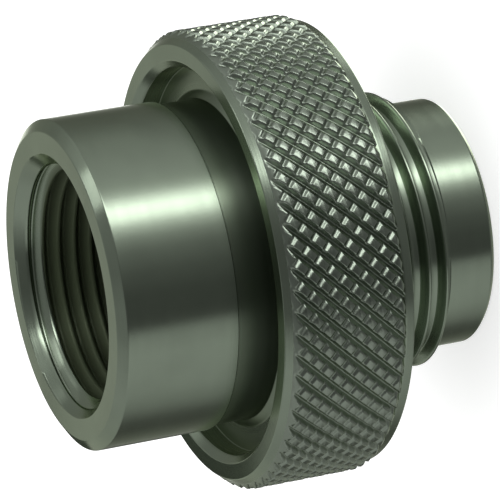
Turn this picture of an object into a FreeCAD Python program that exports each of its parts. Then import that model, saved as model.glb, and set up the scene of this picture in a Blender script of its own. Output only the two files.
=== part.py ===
import FreeCAD, Part

import math
import os

# Threaded adapter, turned from one bar: a round head with a female thread, a neck inside a
# knurled collar with a ring-shaped recess, a male thread, and a plain nose.
# It stands on its nose. The axis is Z, and the origin is the centre of the nose's end face.
# Heights are measured up the axis from that face. All sizes are in millimetres.

V = FreeCAD.Vector
UP = V(0, 0, 1)

# Bore and nose
BORE_R = 10.0
BORE_CHAMFER = 0.5
NOSE_R = 13.25
NOSE_LENGTH = 5.4
NOSE_CHAMFER = 0.5

# Male thread, metric, right-hand
MALE_R = 14.9
MALE_PITCH = 2.0
MALE_FLANK_DEG = 30.0
MALE_DEPTH = 1.2
MALE_CREST = 0.3
MALE_LENGTH = 8.9
MALE_LEAD_IN = 0.3
MALE_GROOVE_OVERRUN = 0.13
MALE_RELIEF_WIDTH = 2.6
MALE_RELIEF_GAP = 0.2

# Knurled collar
COLLAR_R = 24.5
COLLAR_WIDTH = 14.15
REAR_CHAMFER_HEIGHT = 1.5
REAR_CHAMFER_DEPTH = 0.1
FRONT_CHAMFER_HEIGHT = 0.95
FRONT_CHAMFER_DEPTH = 0.75
KNURL_COUNT = 66
KNURL_ROWS = 10
KNURL_DEPTH = 0.5
KNURL_END_DROP = 0.25
KNURL_SEAT = 0.05

# Ring-shaped recess between the collar and the neck
RECESS_R = 20.7
RECESS_DEPTH = 2.85
RECESS_CHAMFER_HEIGHT = 0.8
RECESS_CHAMFER_DEPTH = 0.8

# Neck and head
NECK_R = 17.1
NECK_FOOT_R = 18.0
NECK_FOOT_HEIGHT = 0.6
NECK_LENGTH = 5.4
HEAD_R = 17.5
HEAD_LENGTH = 12.9
HEAD_EDGE = 0.15
HEAD_CHAMFER_HEIGHT = 0.8
HEAD_CHAMFER_DEPTH = 1.2

# Female thread, pipe size, right-hand
FEMALE_R = 12.06
FEMALE_DEPTH = 1.16
SOCKET_MOUTH_R = 14.0
SOCKET_COUNTERSINK = 2.3
SOCKET_DEPTH = 17.0
SOCKET_RELIEF_WIDTH = 2.5
SOCKET_RELIEF_GAP = 0.25

# How far a cutting tool or a pattern runs past the face it cuts
OVERRUN = 1.0

# Heights of the main faces, from the nose up
THREAD_BOTTOM = NOSE_LENGTH
COLLAR_BOTTOM = THREAD_BOTTOM + MALE_LENGTH
COLLAR_TOP = COLLAR_BOTTOM + COLLAR_WIDTH
RECESS_FLOOR = COLLAR_TOP - RECESS_DEPTH
HEAD_BOTTOM = RECESS_FLOOR + NECK_LENGTH
TOP = HEAD_BOTTOM + HEAD_LENGTH
SOCKET_FLOOR = TOP - SOCKET_DEPTH

MALE_ROOT_R = MALE_R - MALE_DEPTH
MALE_RELIEF_R = MALE_ROOT_R - MALE_RELIEF_GAP
FEMALE_ROOT_R = FEMALE_R + FEMALE_DEPTH
SOCKET_RELIEF_R = FEMALE_ROOT_R + SOCKET_RELIEF_GAP
KNURL_VALLEY_R = COLLAR_R - KNURL_DEPTH


def turned(profile):
    """Solid of revolution about Z from (radius, height) points."""
    points = [V(r, 0, z) for r, z in profile]
    face = Part.Face(Part.makePolygon(points + points[:1]))
    return face.revolve(V(0, 0, 0), UP, 360)


def outside():
    """Nose, male thread blank, collar blank inside the knurl, neck and head."""
    relief_bottom = COLLAR_BOTTOM - MALE_RELIEF_WIDTH
    relief_slope = MALE_R - MALE_RELIEF_R
    under_knurl = KNURL_VALLEY_R - KNURL_SEAT
    return turned([
        (0, 0),
        (NOSE_R - NOSE_CHAMFER, 0),
        (NOSE_R, NOSE_CHAMFER),
        (NOSE_R, THREAD_BOTTOM),
        (MALE_R - MALE_LEAD_IN, THREAD_BOTTOM),
        (MALE_R, THREAD_BOTTOM + MALE_LEAD_IN),
        (MALE_R, relief_bottom - relief_slope),
        (MALE_RELIEF_R, relief_bottom),
        (MALE_RELIEF_R, COLLAR_BOTTOM),
        (under_knurl - REAR_CHAMFER_DEPTH, COLLAR_BOTTOM),
        (under_knurl, COLLAR_BOTTOM + REAR_CHAMFER_HEIGHT),
        (under_knurl, COLLAR_TOP - FRONT_CHAMFER_HEIGHT),
        (under_knurl - FRONT_CHAMFER_DEPTH, COLLAR_TOP),
        (NECK_R, COLLAR_TOP),
        (NECK_R, HEAD_BOTTOM),
        (HEAD_R - HEAD_EDGE, HEAD_BOTTOM),
        (HEAD_R, HEAD_BOTTOM + HEAD_EDGE),
        (HEAD_R, TOP - HEAD_CHAMFER_HEIGHT),
        (HEAD_R - HEAD_CHAMFER_DEPTH, TOP),
        (0, TOP),
    ])


def inside():
    """Through bore, socket with its countersink, and the thread relief at its bottom."""
    relief_top = SOCKET_FLOOR + SOCKET_RELIEF_WIDTH
    flare = SOCKET_MOUTH_R - FEMALE_R
    return turned([
        (0, -OVERRUN),
        (BORE_R + BORE_CHAMFER + OVERRUN, -OVERRUN),
        (BORE_R, BORE_CHAMFER),
        (BORE_R, SOCKET_FLOOR),
        (SOCKET_RELIEF_R, SOCKET_FLOOR),
        (SOCKET_RELIEF_R, relief_top),
        (FEMALE_R, relief_top + SOCKET_RELIEF_R - FEMALE_R),
        (FEMALE_R, TOP - SOCKET_COUNTERSINK),
        (SOCKET_MOUTH_R, TOP),
        (SOCKET_MOUTH_R + flare, TOP + SOCKET_COUNTERSINK),
        (0, TOP + SOCKET_COUNTERSINK),
    ])


def recess():
    """Ring cut from the collar's top around the neck, with a small cone at the neck's foot."""
    flare = RECESS_CHAMFER_DEPTH / RECESS_CHAMFER_HEIGHT
    return turned([
        (NECK_FOOT_R, RECESS_FLOOR),
        (RECESS_R, RECESS_FLOOR),
        (RECESS_R, COLLAR_TOP - RECESS_CHAMFER_HEIGHT),
        (RECESS_R + RECESS_CHAMFER_DEPTH + flare * OVERRUN, COLLAR_TOP + OVERRUN),
        (NECK_R, COLLAR_TOP + OVERRUN),
        (NECK_R, RECESS_FLOOR + NECK_FOOT_HEIGHT),
    ])


def around(radius, step, z):
    """Point on a circle, with the turn counted in knurl steps."""
    angle = 2 * math.pi * step / KNURL_COUNT
    return V(radius * math.cos(angle), radius * math.sin(angle), z)


def triangle(a, b, c):
    return Part.Face(Part.makePolygon([a, b, c, a]))


def knurl():
    """Disc whose rim is a diamond knurl: rows of four-sided points, each row half a step round."""
    bottom = COLLAR_BOTTOM + REAR_CHAMFER_HEIGHT
    row_step = (COLLAR_WIDTH - REAR_CHAMFER_HEIGHT - FRONT_CHAMFER_HEIGHT) / KNURL_ROWS
    faces = []
    ends = {0: [], KNURL_ROWS: []}
    for row in range(KNURL_ROWS + 1):
        z = bottom + row * row_step
        shift = 0.5 * (row % 2)
        tip_r = COLLAR_R - KNURL_END_DROP if row in ends else COLLAR_R
        for tooth in range(KNURL_COUNT):
            step = tooth + shift
            tip = around(tip_r, step, z)
            left = around(KNURL_VALLEY_R, step - 0.5, z)
            right = around(KNURL_VALLEY_R, step + 0.5, z)
            if row > 0:
                below = around(KNURL_VALLEY_R, step, z - row_step)
                faces += [triangle(tip, left, below), triangle(tip, below, right)]
            if row < KNURL_ROWS:
                above = around(KNURL_VALLEY_R, step, z + row_step)
                faces += [triangle(tip, above, left), triangle(tip, right, above)]
            if row in ends:
                ends[row] += [left, tip]
    for rim in ends.values():
        faces.append(Part.Face(Part.makePolygon(rim + rim[:1])))
    return Part.makeSolid(Part.makeShell(faces))


def male_groove():
    """Right-hand V groove, from the air over the nose to the middle of the relief."""
    slope = math.tan(math.radians(MALE_FLANK_DEG))
    bottom = THREAD_BOTTOM - MALE_PITCH
    top = COLLAR_BOTTOM - MALE_RELIEF_WIDTH / 2
    mouth_r = MALE_R + MALE_GROOVE_OVERRUN
    at_crest = (MALE_PITCH - MALE_CREST) / 2
    at_root = at_crest - slope * MALE_DEPTH
    at_mouth = at_crest + slope * MALE_GROOVE_OVERRUN
    outline = [
        V(MALE_ROOT_R, 0, bottom - at_root),
        V(MALE_ROOT_R, 0, bottom + at_root),
        V(mouth_r, 0, bottom + at_mouth),
        V(mouth_r, 0, bottom - at_mouth),
    ]
    section = Part.makePolygon(outline + outline[:1])
    helix = Part.makeLongHelix(MALE_PITCH, top - bottom, MALE_ROOT_R)
    helix.translate(V(0, 0, bottom))
    return Part.Wire(helix).makePipeShell([section], True, True)


def adapter_body():
    body = outside().cut(male_groove())
    body = body.fuse(knurl())
    body = body.cut(recess())
    return body.cut(inside()).removeSplitter()


os.makedirs("parts", exist_ok=True)
adapter_body().exportStep("parts/adapter_body.step")
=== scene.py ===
import math

import bmesh
import bpy
import numpy as np
from mathutils import Matrix, Vector


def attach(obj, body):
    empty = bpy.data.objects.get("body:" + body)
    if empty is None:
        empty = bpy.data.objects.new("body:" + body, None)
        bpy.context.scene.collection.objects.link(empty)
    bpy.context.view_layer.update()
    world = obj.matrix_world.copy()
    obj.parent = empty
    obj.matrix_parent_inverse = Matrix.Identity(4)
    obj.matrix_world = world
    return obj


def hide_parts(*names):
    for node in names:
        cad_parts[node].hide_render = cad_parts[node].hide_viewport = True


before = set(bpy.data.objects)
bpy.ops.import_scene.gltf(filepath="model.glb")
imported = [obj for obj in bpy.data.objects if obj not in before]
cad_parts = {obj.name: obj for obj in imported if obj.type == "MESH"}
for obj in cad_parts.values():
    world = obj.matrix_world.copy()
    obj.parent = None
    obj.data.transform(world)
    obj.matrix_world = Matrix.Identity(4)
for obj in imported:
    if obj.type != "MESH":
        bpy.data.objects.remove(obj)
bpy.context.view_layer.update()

# The part's sizes, in millimetres. Heights are above the nose's end face.
MM = 0.001
TOP = 43.9
BORE_R = 10.0
BORE_CHAMFER = 0.5
NOSE_R = 13.25
NOSE_CHAMFER = 0.5
THREAD_BOTTOM = 5.4
COLLAR_BOTTOM = 14.3
COLLAR_TOP = 28.45
COLLAR_R = 24.5
RECESS_R = 20.7
RECESS_RIM_R = 21.5
RECESS_RIM_HEIGHT = 0.8
RECESS_FLOOR = 25.6
NECK_R = 17.1
NECK_FOOT_R = 18.0
NECK_FOOT_HEIGHT = 0.6
HEAD_R = 17.5
HEAD_BOTTOM = 31.0
HEAD_CHAMFER_BOTTOM = 43.1
HEAD_TOP_R = 16.3
SOCKET_MOUTH_R = 14.0
SOCKET_COUNTERSINK = 2.3
SOCKET_FLOOR = 26.9

# Collar: its edges, the plain bands beside the knurl, and the core hidden under the knurl
REAR_EDGE_R = 23.85
REAR_BAND_R = 23.95
FRONT_BAND_R = 23.95
FRONT_EDGE_R = 23.2
FRONT_CHAMFER_BOTTOM = 27.5
CORE_R = 23.8
CORE_BOTTOM_STEP = 0.2
CORE_TOP_STEP = 0.3

# Knurl: points round, rows up, and its height, depth and ends
KNURL_COUNT = 66
KNURL_ROWS = 10
KNURL_FIRST_ROW = 15.8
KNURL_BOTTOM = 15.3
KNURL_DEPTH = 0.58
KNURL_INNER_R = 22.6
KNURL_OVERRUN_BELOW = 0.4
KNURL_OVERRUN_ABOVE = 0.3
KNURL_REAR_SLOPE = 2
KNURL_FRONT_LIFT = 0.05

# Cuts between the knurl's points, in shares of the way from one point to the next
KNURL_EDGE = 4
KNURL_LAND = 0.05
KNURL_ROUND = 0.26
KNURL_WALL_SHARES = (0.25, 0.5, 0.75)
KNURL_LINES = 2 * len(KNURL_WALL_SHARES) + 5

# The two families of cuts: where a point's top ends before and after its tip, and the depth
KNURL_NOTCH = (0.25, 0.21, 0.5)
KNURL_GROOVE = (0.24, 0.12, 1.0)

# Male thread, with its groove's half width at the root and at the crest
MALE_R = 14.9
MALE_ROOT_R = 13.7
MALE_PITCH = 2.0
MALE_PHASE = 0.0
MALE_HALF_WIDTHS = (0.4, 0.85)
MALE_LEAD_IN = 0.3
MALE_RELIEF_R = 13.5
MALE_RELIEF_BOTTOM = 11.7
MALE_TOP = MALE_RELIEF_BOTTOM + 1.0

# Female thread, the same way
FEMALE_R = 12.06
FEMALE_ROOT_R = 13.22
FEMALE_PITCH = 1.814
FEMALE_PHASE = 0.1
FEMALE_HALF_WIDTHS = (0.128, 0.732)
FEMALE_RELIEF_R = 13.47
FEMALE_RELIEF_TOP = 29.4
FEMALE_BOTTOM = FEMALE_RELIEF_TOP - 0.6
FEMALE_MIDDLE = 36

# Turned mesh: columns round, rows counted from a groove's middle, and rounded corners
COLUMNS = 256
MALE_ROWS = (0.0, 0.32, 0.4, 0.48, 0.62, 0.77, 0.85, 0.93)
FEMALE_ROWS = (0.0, 0.12, 0.2, 0.47, 0.7, 0.8)
THREAD_ROUND = 0.06
FILLET = 0.12
FILLET_SHARE = 0.4
FILLET_STEPS = 3
MERGE_METRES = 2e-6
SMALLEST = 1e-20

# Metal of the turned surfaces and of the knurl
TURNED_METAL = {
    "color": (0.275, 0.33, 0.255),
    "roughness": 0.21,
    "anisotropy": 0.8,
    "marks": 0.3,
    "dents": 0.02,
    "tip_roughness": 0.21,
}
KNURLED_METAL = {
    "color": (0.275, 0.32, 0.262),
    "roughness": 0.28,
    "anisotropy": 0.0,
    "marks": 0.1,
    "dents": 0.2,
    "tip_roughness": 0.25,
}
EDGE_TINT = (0.88, 0.92, 0.78, 1)
GRAIN_TURN = 0.25
ROUGHNESS_SPREAD = 0.05

# How far below the knurl's tips the change to their own roughness starts and ends
TIP_START = 0.22
TIP_END = 0.08

# Scale and detail of each noise, heights of marks and dents in metres, and tints of patches
MARK_NOISE = (5200, 3)
RING_NOISE = (900, 2)
PATCH_NOISE = (160, 4)
DENT_NOISE = (2600, 2)
MARK_HEIGHT = 0.00002
DENT_HEIGHT = 0.0001
PATCH_TINTS = ((0.3, 0.93), (0.7, 1.05))

# Hollows darkened with painted shade (a dark base colour and less metal) and made duller: radii,
# heights and strength of each, and how their edges fade
HOLLOWS = [
    ((0, 10.6), (0.8, 27), 0.92),
    ((0, 13.6), (26.8, 41.3), 0.92),
    ((16.9, 17.3), (25.6, 30.9), 0.3),
    ((17.3, 20.9), (25.5, 27.6), 0.3),
]
HOLLOW_RADIUS_FADE = 0.2
HOLLOW_HEIGHT_FADE = 0.3
PAINTED_SHADE_COLOR = (0.04, 0.055, 0.022, 1)
HOLLOW_ROUGHNESS = 0.25
# Painted shade: over these shade levels the metal gives way to a dark non-metal
PAINTED_SHADE_LEVELS = (0.5, 0.95)
PAINTED_SHADE_METALLIC = (1.0, 0.25)

# Camera: where the mouth's centre stands in the photo, the axis's slope and lean, and distance
IMAGE_SIZE = 500
MOUTH_PIXEL = (60.0, 286.6)
AXIS_SLOPE = math.radians(9.9)
AXIS_LEAN = math.radians(20.8)
PIXEL = 0.104 * MM
DISTANCE_PIXELS = 4500
SENSOR = 36.0
CAMERA_REACH = 10

# Floor, lamp and world, in metres
WHITE = (1, 1, 1, 1)
WORLD_LEVEL = 0.9
FLOOR_HALF = 3.0
FLOOR_COLOR = (0.86, 0.86, 0.86, 1)
FLOOR_LIFT = 0.55
MATT_ROUGHNESS = 0.9
LAMP_PLACE = (0.5, -0.6, 0.8)
LAMP_TARGET = (0, 0, 0.02)
LAMP_SIZE = 0.9
LAMP_POWER = 1.0

# Dark card behind the collar, in millimetres
FLAG_X = (-34, -13)
FLAG_Y = 60
FLAG_Z = (5, 56)
FLAG_COLOR = (0.03, 0.04, 0.03, 1)
FLAG_GLOW = 0.03

# Level of the cards by direction: degrees from the viewer's side (-Y), positive towards +X
NADIR_STOPS = [(-180, 0.4), (-60, 0.25), (0, 0.15), (60, 0.2), (180, 0.4)]
DEEP_STOPS = [
    (-180, 0.5), (-118, 0.45), (-75, 0.4), (-45, 0.2), (60, 0.2), (98, 0.45), (110, 2.6),
    (122, 4.4), (150, 4.4), (165, 2.4), (180, 0.5),
]
LOW_STOPS = [
    (-180, 2.0), (-172, 1.6), (-165, 0.3), (-130, 0.12), (-118, 0.16), (-104, 0.38), (-88, 0.54),
    (-58, 0.62), (-46, 0.56), (-41, 0.4), (-37, 0.14), (-30, 0.11), (-15, 0.12), (0, 0.19),
    (15, 0.33), (24, 0.6), (32, 1.4), (38, 3.4), (44, 4.2), (50, 2.4), (55, 1.1), (62, 0.72),
    (80, 0.58), (100, 0.42), (120, 0.28), (150, 0.16), (165, 0.3), (172, 1.6), (180, 2.0),
]
HIGH_STOPS = [
    (-180, 0.47), (-165, 0.5), (-145, 0.48), (-122, 0.45), (-104, 0.5), (-88, 0.54), (-58, 0.62),
    (-46, 0.5), (-37, 0.14), (-15, 0.12), (0, 0.19), (15, 0.33), (30, 0.8), (40, 3.0), (47, 4.2),
    (54, 2.2), (62, 0.72), (80, 0.58), (105, 0.42), (125, 0.32), (160, 0.26), (170, 0.45),
    (180, 0.47),
]
TOP_STOPS = [
    (-180, 0.5), (-145, 0.5), (-110, 0.52), (-72, 0.57), (-55, 0.5), (-42, 0.14), (-15, 0.14),
    (0, 0.19), (27, 0.33), (38, 0.9), (46, 3.6), (53, 3.8), (60, 1.4), (72, 0.7), (91, 0.5),
    (107, 0.42), (118, 0.6), (128, 0.7), (140, 0.34), (180, 0.45),
]
CROWN_STOPS = [
    (-180, 0.3), (-135, 0.5), (-118, 0.45), (-95, 0.3), (-60, 0.2), (0, 0.15), (60, 0.25),
    (98, 0.4), (110, 1.8), (122, 2.6), (133, 1.2), (145, 0.4), (180, 0.3),
]
CAP_STOPS = [
    (-180, 0.3), (-135, 0.4), (-95, 0.3), (-60, 0.2), (0, 0.15), (60, 0.25), (120, 0.3),
    (180, 0.3),
]

# Each card's name, levels, and radii and heights in metres, from below the object to above it
CARD_LEVEL = 5.0
CARD_SEGMENTS = 96
CARD_R = 1.5
HOLE_R = 0.01
CARDS = [
    ("nadir_cards", NADIR_STOPS, [(HOLE_R, -2.5), (CARD_R, -2.5), (CARD_R, -2.1)]),
    ("deep_cards", DEEP_STOPS, [(CARD_R, -2.1), (CARD_R, -0.9)]),
    ("low_cards", LOW_STOPS, [(CARD_R, -0.9), (CARD_R, 0)]),
    ("high_cards", HIGH_STOPS, [(CARD_R, 0), (CARD_R, 0.8)]),
    ("top_cards", TOP_STOPS, [(CARD_R, 0.8), (CARD_R, 1.85)]),
    ("crown_cards", CROWN_STOPS, [(CARD_R, 1.85), (CARD_R, 3.3)]),
    ("cap_cards", CAP_STOPS, [(CARD_R, 3.3), (CARD_R, 4.2), (HOLE_R, 4.2)]),
]


def new_piece(name, data):
    piece = bpy.data.objects.new(name, data)
    bpy.context.scene.collection.objects.link(piece)
    return piece


def rounded(points):
    """The same profile with an arc in place of each inner corner."""
    out = [points[0]]
    for before, corner, after in zip(points, points[1:], points[2:]):
        middle = np.array(corner, float)
        back = np.array(before, float) - middle
        onward = np.array(after, float) - middle
        back_length = np.linalg.norm(back)
        onward_length = np.linalg.norm(onward)
        cut = min(FILLET, back_length * FILLET_SHARE, onward_length * FILLET_SHARE)
        start = middle + back / back_length * cut
        end = middle + onward / onward_length * cut
        for t in np.linspace(0, 1, FILLET_STEPS + 1):
            out.append(tuple((1 - t) ** 2 * start + 2 * t * (1 - t) * middle + t ** 2 * end))
    out.append(points[-1])
    return out


def plain_rows(points):
    """Rows of a turned stretch: the same radius and height in every column."""
    rows = np.array(rounded(points))
    r = np.repeat(rows[:, :1], COLUMNS + 1, axis=1)
    z = np.repeat(rows[:, 1:], COLUMNS + 1, axis=1)
    return r, z


def thread_depth(z, turn, pitch, phase, half_widths):
    """0 on the crest and 1 at the root of a right-hand V thread, slightly rounded."""
    away = np.abs((z / pitch - turn - phase + 0.5) % 1 - 0.5) * pitch
    root, crest = half_widths
    shifts = (-THREAD_ROUND, 0, THREAD_ROUND)
    depth = 0
    for shift in shifts:
        flank = (crest - np.abs(away + shift)) / (crest - root)
        depth = depth + np.clip(flank, 0, 1) / len(shifts)
    return depth


def thread_heights(bottom, top, pitch, phase, steps):
    """Heights of rows that follow the thread, held inside its stretch at both ends."""
    turn = np.linspace(0, 1, COLUMNS + 1)
    offsets = sorted(set(steps) | {pitch - s for s in steps if s > 0})
    first = math.floor(bottom / pitch - phase) - 1
    last = math.ceil(top / pitch - phase) + 1
    rows = [(k + phase) * pitch + s for k in range(first, last) for s in offsets]
    z = np.array(rows)[:, None] + turn[None, :] * pitch
    return np.clip(z, bottom, top), turn[None, :]


def male_thread():
    """From the nose up to the relief."""
    z, turn = thread_heights(THREAD_BOTTOM, MALE_TOP, MALE_PITCH, MALE_PHASE, MALE_ROWS)
    cone_in = MALE_R - MALE_LEAD_IN + (z - THREAD_BOTTOM)
    cone_out = MALE_RELIEF_R + (MALE_RELIEF_BOTTOM - z)
    envelope = np.minimum(np.minimum(MALE_R, cone_in), cone_out)
    envelope = np.maximum(envelope, MALE_RELIEF_R)
    depth = thread_depth(z, turn, MALE_PITCH, MALE_PHASE, MALE_HALF_WIDTHS)
    return np.minimum(envelope, MALE_R - depth * (MALE_R - MALE_ROOT_R)), z


def female_thread():
    """From the mouth down to the relief. The first grooves cut the countersink."""
    z, turn = thread_heights(FEMALE_BOTTOM, TOP, FEMALE_PITCH, FEMALE_PHASE, FEMALE_ROWS)
    slope = (SOCKET_MOUTH_R - FEMALE_R) / SOCKET_COUNTERSINK
    cone = SOCKET_MOUTH_R - (TOP - z) * slope
    cone_out = FEMALE_RELIEF_R - (z - FEMALE_RELIEF_TOP)
    envelope = np.minimum(np.maximum(np.maximum(FEMALE_R, cone), cone_out), SOCKET_MOUTH_R)
    envelope = np.where(z < FEMALE_MIDDLE, np.minimum(envelope, FEMALE_RELIEF_R), envelope)
    depth = thread_depth(z, turn, FEMALE_PITCH, FEMALE_PHASE, FEMALE_HALF_WIDTHS)
    r = np.maximum(envelope, FEMALE_R + depth * (FEMALE_ROOT_R - FEMALE_R))
    return r[::-1], z[::-1]


def outer_profile():
    """From the male thread's relief up to the mouth's edge."""
    return [
        (MALE_RELIEF_R, MALE_TOP),
        (MALE_RELIEF_R, COLLAR_BOTTOM),
        (REAR_EDGE_R, COLLAR_BOTTOM),
        (REAR_BAND_R, KNURL_BOTTOM),
        (CORE_R, KNURL_BOTTOM + CORE_BOTTOM_STEP),
        (CORE_R, FRONT_CHAMFER_BOTTOM - CORE_TOP_STEP),
        (FRONT_BAND_R, FRONT_CHAMFER_BOTTOM),
        (FRONT_EDGE_R, COLLAR_TOP),
        (RECESS_RIM_R, COLLAR_TOP),
        (RECESS_R, COLLAR_TOP - RECESS_RIM_HEIGHT),
        (RECESS_R, RECESS_FLOOR),
        (NECK_FOOT_R, RECESS_FLOOR),
        (NECK_R, RECESS_FLOOR + NECK_FOOT_HEIGHT),
        (NECK_R, HEAD_BOTTOM),
        (HEAD_R, HEAD_BOTTOM),
        (HEAD_R, HEAD_CHAMFER_BOTTOM),
        (HEAD_TOP_R, TOP),
        (SOCKET_MOUTH_R, TOP),
    ]


def inner_profile():
    """From the socket's relief down the bore and round the nose to the male thread."""
    return [
        (FEMALE_RELIEF_R, FEMALE_BOTTOM),
        (FEMALE_RELIEF_R, SOCKET_FLOOR),
        (BORE_R, SOCKET_FLOOR),
        (BORE_R, BORE_CHAMFER),
        (BORE_R + BORE_CHAMFER, 0),
        (NOSE_R - NOSE_CHAMFER, 0),
        (NOSE_R, NOSE_CHAMFER),
        (NOSE_R, THREAD_BOTTOM),
        (MALE_ROOT_R, THREAD_BOTTOM),
    ]


def grid_mesh(name, r, z, angle):
    """A closed turned mesh from rows of radii, heights and angles, which may follow a thread."""
    points = np.stack([r * np.cos(angle), r * np.sin(angle), z], axis=-1) * MM
    index = np.arange(r.size).reshape(r.shape)
    above = np.roll(index, -1, axis=0)
    quads = np.stack([index[:, :-1], index[:, 1:], above[:, 1:], above[:, :-1]], axis=-1)
    mesh = bpy.data.meshes.new(name)
    mesh.from_pydata(points.reshape(-1, 3).tolist(), [], quads.reshape(-1, 4).tolist())
    work = bmesh.new()
    work.from_mesh(mesh)
    bmesh.ops.remove_doubles(work, verts=work.verts, dist=MERGE_METRES)
    bmesh.ops.recalc_face_normals(work, faces=work.faces)
    work.to_mesh(mesh)
    work.free()
    smooth_by_area(mesh)
    return new_piece(name, mesh)


def smooth_by_area(mesh):
    """Smooth shading in which large faces stay flat and the small fillets take the turn."""
    mesh.shade_smooth()
    area = np.empty(len(mesh.polygons))
    normal = np.empty(len(mesh.polygons) * 3)
    totals = np.empty(len(mesh.polygons), int)
    corners = np.empty(len(mesh.loops), int)
    mesh.polygons.foreach_get("area", area)
    mesh.polygons.foreach_get("normal", normal)
    mesh.polygons.foreach_get("loop_total", totals)
    mesh.loops.foreach_get("vertex_index", corners)
    weighted = normal.reshape(-1, 3) * area[:, None]
    total = np.zeros((len(mesh.vertices), 3))
    np.add.at(total, corners, np.repeat(weighted, totals, axis=0))
    total /= np.maximum(np.linalg.norm(total, axis=1, keepdims=True), SMALLEST)
    mesh.normals_split_custom_set_from_vertices(total.tolist())


def turned_body():
    stretches = [
        plain_rows(outer_profile()),
        female_thread(),
        plain_rows(inner_profile()),
        male_thread(),
    ]
    r = np.concatenate([radii for radii, _ in stretches])
    z = np.concatenate([heights for _, heights in stretches])
    angle = np.linspace(0, 2 * math.pi, COLUMNS + 1)[None, :]
    return grid_mesh("turned_body", r, z, angle)


def knurl_places(cut, index):
    """Places of the mesh's lines across one family of cuts, in points, counted from a tip."""
    before, after, _ = cut
    edge = 0.5 - KNURL_LAND
    steps = [-0.5, -edge]
    steps += [-before - (edge - before) * share for share in reversed(KNURL_WALL_SHARES)]
    steps += [-before, after]
    steps += [after + (edge - after) * share for share in KNURL_WALL_SHARES]
    steps.append(edge)
    return index // KNURL_LINES + np.array(steps)[index % KNURL_LINES]


def knurl_cut(place, cut):
    """0 on a point's top, then rounded walls down to a narrow land at the cut's depth."""
    before, after, depth = cut
    edge = 0.5 - KNURL_LAND
    away = (place + 0.5) % 1 - 0.5
    wall = np.maximum((-away - before) / (edge - before), (away - after) / (edge - after))
    rise = np.hypot(np.clip(wall, 0, 1), KNURL_ROUND) - KNURL_ROUND
    return depth * rise / (math.hypot(1, KNURL_ROUND) - KNURL_ROUND)


def knurl_band():
    """Ring of cut points whose mesh follows both families of cuts, cut by both chamfers."""
    row_step = (FRONT_CHAMFER_BOTTOM - KNURL_FIRST_ROW) / KNURL_ROWS
    low = (KNURL_BOTTOM - KNURL_OVERRUN_BELOW - KNURL_FIRST_ROW) / row_step
    high = KNURL_ROWS + KNURL_OVERRUN_ABOVE / row_step
    start = math.floor((low - 0.5) * KNURL_LINES)
    end = math.ceil((high + 0.5) * KNURL_LINES)
    column = np.arange(KNURL_COUNT * KNURL_LINES + 1)[None, :]
    row = np.arange(start, end)[:, None]
    second = knurl_places(KNURL_GROOVE, column)
    first = np.clip(knurl_places(KNURL_NOTCH, column + row), second + low, second + high)
    angle = (first + second) * math.pi / KNURL_COUNT
    z = KNURL_FIRST_ROW + (first - second) * row_step
    notch = knurl_cut(first, KNURL_NOTCH)
    groove = knurl_cut(second, KNURL_GROOVE)
    r = COLLAR_R - KNURL_DEPTH * (notch ** KNURL_EDGE + groove ** KNURL_EDGE) ** (1 / KNURL_EDGE)
    front = FRONT_BAND_R + (FRONT_CHAMFER_BOTTOM + KNURL_FRONT_LIFT - z)
    rear = REAR_BAND_R + KNURL_REAR_SLOPE * (z - KNURL_BOTTOM)
    r = np.minimum(r, np.minimum(front, rear))
    inner = np.full_like(r[:1], KNURL_INNER_R)
    r = np.concatenate([inner, r, inner])
    z = np.concatenate([z[:1], z, z[-1:]])
    angle = np.concatenate([angle[:1], angle, angle[-1:]])
    return grid_mesh("knurl_band", r, z, angle)


def new_material(name):
    material = bpy.data.materials.new(name)
    material.use_nodes = True
    return material


def calculate(tree, operation, *values):
    """Math node on sockets and plain numbers."""
    node = tree.nodes.new("ShaderNodeMath")
    node.operation = operation
    for socket, value in zip(node.inputs, values):
        if isinstance(value, bpy.types.NodeSocket):
            tree.links.new(value, socket)
        else:
            socket.default_value = value
    return node.outputs["Value"]


def stretched(tree, value, given, wanted=(0, 1)):
    """The value, with the given two numbers mapped to the wanted two."""
    node = tree.nodes.new("ShaderNodeMapRange")
    node.inputs["From Min"].default_value = given[0]
    node.inputs["From Max"].default_value = given[1]
    node.inputs["To Min"].default_value = wanted[0]
    node.inputs["To Max"].default_value = wanted[1]
    tree.links.new(value, node.inputs["Value"])
    return node.outputs["Result"]


def noise(tree, vector, scale, detail):
    node = tree.nodes.new("ShaderNodeTexNoise")
    node.inputs["Scale"].default_value = scale
    node.inputs["Detail"].default_value = detail
    tree.links.new(vector, node.inputs["Vector"])
    return node.outputs["Fac"]


def bump(tree, height, strength, distance):
    node = tree.nodes.new("ShaderNodeBump")
    node.inputs["Strength"].default_value = strength
    node.inputs["Distance"].default_value = distance
    tree.links.new(height, node.inputs["Height"])
    return node


def between(tree, value, limits, fade):
    """1 where the value lies within the limits, fading to 0 outside them."""
    low = limits[0] * MM
    high = limits[1] * MM
    rise = stretched(tree, value, (low - fade * MM, low))
    fall = stretched(tree, value, (high + fade * MM, high))
    return calculate(tree, "MULTIPLY", rise, fall)


def hollow_shade(tree, radius, height):
    """Where painted shade darkens the metal, which is also duller there: inside the socket and
    bore, and in the recess.
    """
    total = 0.0
    for radii, heights, strength in HOLLOWS:
        ring = between(tree, radius, radii, HOLLOW_RADIUS_FADE)
        level = between(tree, height, heights, HOLLOW_HEIGHT_FADE)
        shade = calculate(tree, "MULTIPLY", ring, level)
        shade = calculate(tree, "MULTIPLY", shade, strength)
        total = calculate(tree, "MAXIMUM", total, shade)
    return total


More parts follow.
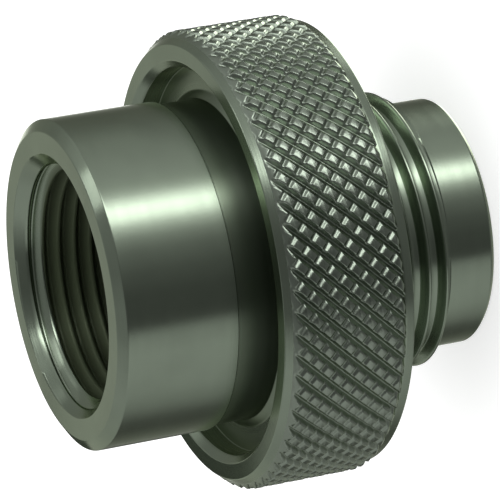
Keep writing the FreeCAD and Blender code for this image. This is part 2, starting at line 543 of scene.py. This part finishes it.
def metal(name, color, roughness, anisotropy, marks, dents, tip_roughness):
    """Satin turned metal: fine rings round the axis, soft patches, and hollows darkened with
    painted shade.
    """
    material = new_material(name)
    tree = material.node_tree
    shader = tree.nodes["Principled BSDF"]
    shader.inputs["Specular Tint"].default_value = EDGE_TINT
    shader.inputs["Anisotropic"].default_value = anisotropy
    shader.inputs["Anisotropic Rotation"].default_value = GRAIN_TURN
    tangent = tree.nodes.new("ShaderNodeTangent")
    tangent.direction_type = "RADIAL"
    tangent.axis = "Z"
    tree.links.new(tangent.outputs["Tangent"], shader.inputs["Tangent"])

    place = tree.nodes.new("ShaderNodeTexCoord").outputs["Object"]
    split = tree.nodes.new("ShaderNodeSeparateXYZ")
    tree.links.new(place, split.inputs["Vector"])
    height = split.outputs["Z"]
    flat = tree.nodes.new("ShaderNodeCombineXYZ")
    tree.links.new(split.outputs["X"], flat.inputs["X"])
    tree.links.new(split.outputs["Y"], flat.inputs["Y"])
    length = tree.nodes.new("ShaderNodeVectorMath")
    length.operation = "LENGTH"
    tree.links.new(flat.outputs["Vector"], length.inputs[0])
    radius = length.outputs["Value"]
    rings = tree.nodes.new("ShaderNodeCombineXYZ")
    tree.links.new(radius, rings.inputs["X"])
    tree.links.new(height, rings.inputs["Y"])

    shade = hollow_shade(tree, radius, height)
    spread = (roughness - ROUGHNESS_SPREAD, roughness + ROUGHNESS_SPREAD)
    rough = stretched(tree, noise(tree, rings.outputs["Vector"], *RING_NOISE), (0, 1), spread)
    tip_radii = ((COLLAR_R - TIP_START) * MM, (COLLAR_R - TIP_END) * MM)
    tips = stretched(tree, radius, tip_radii, (0, tip_roughness - roughness))
    polished = calculate(tree, "ADD", rough, tips)
    dull = calculate(tree, "MULTIPLY_ADD", shade, HOLLOW_ROUGHNESS, polished)
    tree.links.new(dull, shader.inputs["Roughness"])
    # Painted shade: in the deepest hollows the metal turns partly to the dark non-metal base
    # colour
    metallic = stretched(tree, shade, PAINTED_SHADE_LEVELS, PAINTED_SHADE_METALLIC)
    tree.links.new(metallic, shader.inputs["Metallic"])

    tint = tree.nodes.new("ShaderNodeValToRGB")
    for element, (position, factor) in zip(tint.color_ramp.elements, PATCH_TINTS):
        element.position = position
        element.color = (*(channel * factor for channel in color), 1)
    tree.links.new(noise(tree, place, *PATCH_NOISE), tint.inputs["Fac"])
    # Painted shade: inside the hollows the base colour turns towards the dark hollow colour
    painted_shade = tree.nodes.new("ShaderNodeMix")
    painted_shade.data_type = "RGBA"
    painted_shade.inputs["B"].default_value = PAINTED_SHADE_COLOR
    tree.links.new(shade, painted_shade.inputs["Factor"])
    tree.links.new(tint.outputs["Color"], painted_shade.inputs["A"])
    tree.links.new(painted_shade.outputs["Result"], shader.inputs["Base Color"])

    uneven = bump(tree, noise(tree, place, *DENT_NOISE), dents, DENT_HEIGHT)
    turned = bump(tree, noise(tree, rings.outputs["Vector"], *MARK_NOISE), marks, MARK_HEIGHT)
    tree.links.new(uneven.outputs["Normal"], turned.inputs["Normal"])
    tree.links.new(turned.outputs["Normal"], shader.inputs["Normal"])
    return material


def seen_in_reflections_only(card):
    card.visible_camera = False
    card.visible_diffuse = False
    card.visible_shadow = False
    card.visible_transmission = False


def card_light(name, stops):
    """Emission whose level follows the direction from the object's axis."""
    material = new_material(name)
    tree = material.node_tree
    tree.nodes.clear()
    split = tree.nodes.new("ShaderNodeSeparateXYZ")
    place = tree.nodes.new("ShaderNodeTexCoord").outputs["Object"]
    tree.links.new(place, split.inputs["Vector"])
    towards_viewer = calculate(tree, "MULTIPLY", split.outputs["Y"], -1)
    turn = calculate(tree, "ARCTAN2", split.outputs["X"], towards_viewer)
    ramp = tree.nodes.new("ShaderNodeValToRGB")
    elements = ramp.color_ramp.elements
    while len(elements) < len(stops):
        elements.new(0.5)
    for element, (degrees, level) in zip(elements, stops):
        share = level / CARD_LEVEL
        element.position = (degrees + 180) / 360
        element.color = (share, share, share, 1)
    tree.links.new(stretched(tree, turn, (-math.pi, math.pi)), ramp.inputs["Fac"])
    glow = tree.nodes.new("ShaderNodeEmission")
    glow.inputs["Strength"].default_value = CARD_LEVEL
    tree.links.new(ramp.outputs["Color"], glow.inputs["Color"])
    out = tree.nodes.new("ShaderNodeOutputMaterial")
    tree.links.new(glow.outputs["Emission"], out.inputs["Surface"])
    return material


def cards(name, stops, rings):
    """Cards round the object, seen only in its reflections: bright and dark by direction."""
    points = []
    for i in range(CARD_SEGMENTS):
        angle = 2 * math.pi * i / CARD_SEGMENTS
        points += [(r * math.cos(angle), r * math.sin(angle), z) for r, z in rings]
    count = len(rings)
    faces = []
    for i in range(CARD_SEGMENTS):
        here = count * i
        there = count * ((i + 1) % CARD_SEGMENTS)
        faces += [(here + k, there + k, there + k + 1, here + k + 1) for k in range(count - 1)]
    mesh = bpy.data.meshes.new(name)
    mesh.from_pydata(points, [], faces)
    mesh.materials.append(card_light(name, stops))
    ring = new_piece(name, mesh)
    seen_in_reflections_only(ring)


def matt_sheet(name, corners, color):
    """Flat four-cornered piece without gloss, and its shader."""
    material = new_material(name)
    shader = material.node_tree.nodes["Principled BSDF"]
    shader.inputs["Base Color"].default_value = color
    shader.inputs["Roughness"].default_value = MATT_ROUGHNESS
    shader.inputs["Specular IOR Level"].default_value = 0.0
    shader.inputs["Emission Color"].default_value = WHITE
    mesh = bpy.data.meshes.new(name)
    mesh.from_pydata(corners, [], [(0, 1, 2, 3)])
    mesh.materials.append(material)
    return new_piece(name, mesh), shader


def flag():
    """Dark card behind the collar's low side, which keeps that side dark."""
    places = [(0, 0), (1, 0), (1, 1), (0, 1)]
    corners = [(FLAG_X[i] * MM, FLAG_Y * MM, FLAG_Z[k] * MM) for i, k in places]
    card, shader = matt_sheet("flag", corners, FLAG_COLOR)
    shader.inputs["Emission Strength"].default_value = FLAG_GLOW
    seen_in_reflections_only(card)


def floor():
    """Pale floor that keeps the object's shadow and clears to white around it."""
    half = FLOOR_HALF
    corners = [(-half, -half, 0), (half, -half, 0), (half, half, 0), (-half, half, 0)]
    piece, shader = matt_sheet("floor", corners, FLOOR_COLOR)
    tree = piece.data.materials[0].node_tree
    rays = tree.nodes.new("ShaderNodeLightPath").outputs
    seen = calculate(tree, "MAXIMUM", rays["Is Camera Ray"], rays["Is Glossy Ray"])
    seen = calculate(tree, "MAXIMUM", seen, rays["Is Transmission Ray"])
    lift = calculate(tree, "MULTIPLY", seen, FLOOR_LIFT)
    tree.links.new(lift, shader.inputs["Emission Strength"])
    piece.visible_glossy = False


def lamp(name):
    """Soft square lamp aimed at the object."""
    light = bpy.data.lights.new(name, "AREA")
    light.size = LAMP_SIZE
    light.energy = LAMP_POWER
    holder = new_piece(name, light)
    holder.location = LAMP_PLACE
    aim = Vector(LAMP_TARGET) - Vector(LAMP_PLACE)
    holder.rotation_euler = aim.to_track_quat("-Z", "Y").to_euler()
    holder.visible_glossy = False


def studio():
    world = bpy.data.worlds.new("studio")
    world.use_nodes = True
    background = world.node_tree.nodes["Background"]
    background.inputs["Color"].default_value = WHITE
    background.inputs["Strength"].default_value = WORLD_LEVEL
    bpy.context.scene.world = world
    bpy.context.scene.view_settings.view_transform = "Standard"
    lamp("key")
    floor()
    for name, stops, rings in CARDS:
        cards(name, stops, rings)
    flag()


def make_camera():
    """Camera at the photo's viewing angle, with the object's axis towards the image's right."""
    along = Vector((
        math.cos(AXIS_LEAN) * math.cos(AXIS_SLOPE),
        math.cos(AXIS_LEAN) * math.sin(AXIS_SLOPE),
        -math.sin(AXIS_LEAN),
    ))
    near = (Vector((0, 0, 1)) - along * along.z).normalized()
    side = along.cross(near)
    to_row = Matrix((-side, -near, -along))
    half = IMAGE_SIZE / 2
    mouth = Vector((MOUTH_PIXEL[0] - half, half - MOUTH_PIXEL[1], -DISTANCE_PIXELS)) * PIXEL
    camera = new_piece("camera", bpy.data.cameras.new("camera"))
    camera.data.sensor_width = SENSOR
    camera.data.lens = SENSOR * DISTANCE_PIXELS / IMAGE_SIZE
    camera.data.clip_end = CAMERA_REACH
    place = Vector((0, 0, TOP * MM)) - to_row @ mouth
    camera.matrix_world = Matrix.Translation(place) @ to_row.to_4x4()
    bpy.context.scene.camera = camera


make_camera()
studio()
body = turned_body()
band = knurl_band()
body.data.materials.append(metal("turned_metal", **TURNED_METAL))
band.data.materials.append(metal("knurled_metal", **KNURLED_METAL))
for piece in (body, band):
    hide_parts("adapter_body")
    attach(piece, "root")
